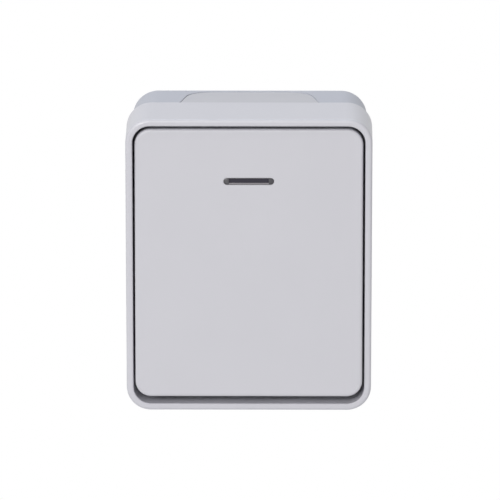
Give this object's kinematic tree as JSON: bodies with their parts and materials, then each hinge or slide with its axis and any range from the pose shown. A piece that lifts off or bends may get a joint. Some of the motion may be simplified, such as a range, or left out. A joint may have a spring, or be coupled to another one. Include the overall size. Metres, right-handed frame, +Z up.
{
  "type": "outdoor weatherproof switch",
  "caption": "Surface-mounted weatherproof wall switch: rounded box with sealed front cover, soft cable entries and a wide tilting rocker with a slim indicator window.",
  "frame": {"origin": "centre of the back face that lies on the wall", "axes": "+X to the right seen from the front, +Y into the wall, +Z up"},
  "size_m": [0.0728, 0.0517, 0.0882],
  "materials": {
    "cover_plastic": "fine moulded satin, light cool grey",
    "box_plastic": "fine moulded satin, light cool grey",
    "entry_rubber": "soft matt thermoplastic rubber, light grey",
    "seal_rubber": "matt black rubber",
    "boot_silicone": "soft grey silicone",
    "clear_plastic": "clear polycarbonate",
    "smoked_plastic": "smoked polycarbonate",
    "insulator": "moulded thermoset, off-white",
    "bearing_plastic": "natural acetal",
    "screw_steel": "zinc plated",
    "spring_steel": "drawn wire",
    "strip_brass": "rolled strip",
    "contact_metal": "silver alloy",
    "pin_metal": "tinned brass wire",
    "board_laminate": "glass-filled laminate",
    "lamp_resin": "cast resin",
    "resistor_body": "coated ceramic"
  },
  "bodies": {
    "housing": {"back_box": "box_plastic", "top_entry_seal": "entry_rubber", "bottom_entry_seal": "entry_rubber", "box_gasket": "seal_rubber", "front_cover": "cover_plastic", "cover_screws": "screw_steel", "cover_screw_seals": "seal_rubber", "rocker_boot": "boot_silicone", "light_window": "clear_plastic", "switch_base": "insulator", "bearing_frame": "insulator", "frame_screws": "screw_steel", "common_terminal": "strip_brass", "load_terminal": "strip_brass", "fixed_contact": "contact_metal", "clamp_plates": "screw_steel", "terminal_screws": "screw_steel", "lamp_board": "board_laminate", "lamp": "lamp_resin", "resistor": "resistor_body", "lamp_pins": "pin_metal"},
    "rocker": {"rocker": "cover_plastic", "indicator_lens": "smoked_plastic", "dolly": "bearing_plastic", "plunger_spring": "spring_steel"},
    "plunger": {"plunger": "bearing_plastic"},
    "contact_bridge": {"contact_bridge": "strip_brass", "moving_contact": "contact_metal"}
  },
  "joints": [
    {"name": "rocker_hinge", "type": "hinge", "parent": "housing", "child": "rocker", "pos_m": [0, -0.039, 0], "axis": [1, 0, 0], "range_deg": [0, 4]},
    {"name": "bridge_hinge", "type": "hinge", "parent": "housing", "child": "contact_bridge", "pos_m": [0, -0.0234, 0], "axis": [1, 0, 0], "range_deg": [-16, 0]},
    {"name": "plunger_slide", "type": "slide", "parent": "rocker", "child": "plunger", "axis": [0, -0.9994, 0.0349], "range_m": [0, 0.001], "stiffness_N_per_m": 300, "springref_m": -0.004, "deforming": ["plunger_spring"]}
  ],
  "couplings": [
    {"joint": "bridge_hinge", "follows": "rocker_hinge", "ratio": -4}
  ]
}
